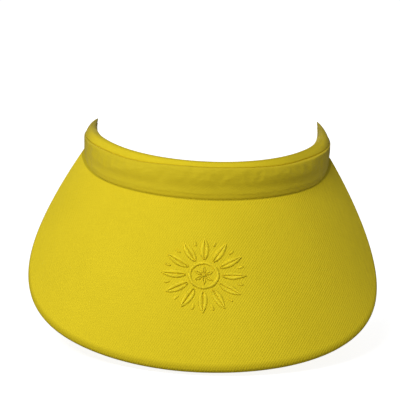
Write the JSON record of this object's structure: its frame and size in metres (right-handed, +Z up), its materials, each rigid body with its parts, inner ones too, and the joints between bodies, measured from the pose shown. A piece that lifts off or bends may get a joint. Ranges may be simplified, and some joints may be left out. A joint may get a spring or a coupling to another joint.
{
  "type": "sun visor",
  "caption": "Clip-on sun visor: wide curved cloth brim with an embroidered motif, sewn to a padded open-back head band with two springy arms.",
  "frame": {"origin": "middle of the head opening seen from above, level with the band's top rim at the forehead", "axes": "+Z up as worn, -Y the way the wearer looks, +X towards the wearer's left side, which is on the right of a picture taken from the front"},
  "size_m": [0.2154, 0.1872, 0.1185],
  "materials": {
    "twill": "yellow cotton twill, matt",
    "thread": "yellow embroidery and sewing thread, satin",
    "terry": "yellow terry towelling, matt",
    "stabiliser": "white non-woven cloth, matt",
    "foam": "cream foam, matt",
    "board": "white plastic brim board, matt",
    "spring": "natural springy plastic, satin"
  },
  "bodies": {
    "front": {"brim_board": "board", "brim_top_cover": "twill", "brim_under_cover": "twill", "brim_join_stitching": "thread", "embroidery_motif": "thread", "embroidery_backing": "stabiliser", "band_cover_front": "twill", "band_foam_front": "foam", "spring_strip_front": "spring", "sweatband_front": "terry", "top_binding_front": "twill", "binding_stitching_front": "thread"},
    "left_arm": {"band_cover_left": "twill", "band_foam_left": "foam", "spring_strip_left": "spring", "sweatband_left": "terry", "top_binding_left": "twill", "binding_stitching_left": "thread"},
    "right_arm": {"band_cover_right": "twill", "band_foam_right": "foam", "spring_strip_right": "spring", "sweatband_right": "terry", "top_binding_right": "twill", "binding_stitching_right": "thread"}
  },
  "joints": [
    {"name": "left_arm_flex", "type": "hinge", "parent": "front", "child": "left_arm", "pos_m": [-0.07892, -0.00371, 0.0025], "axis": [0, 0, 1], "range_deg": [0, 15], "stiffness_Nm_per_rad": 0.15},
    {"name": "right_arm_flex", "type": "hinge", "parent": "front", "child": "right_arm", "pos_m": [0.07892, -0.00371, 0.0025], "axis": [0, 0, -1], "range_deg": [0, 15], "stiffness_Nm_per_rad": 0.15}
  ]
}
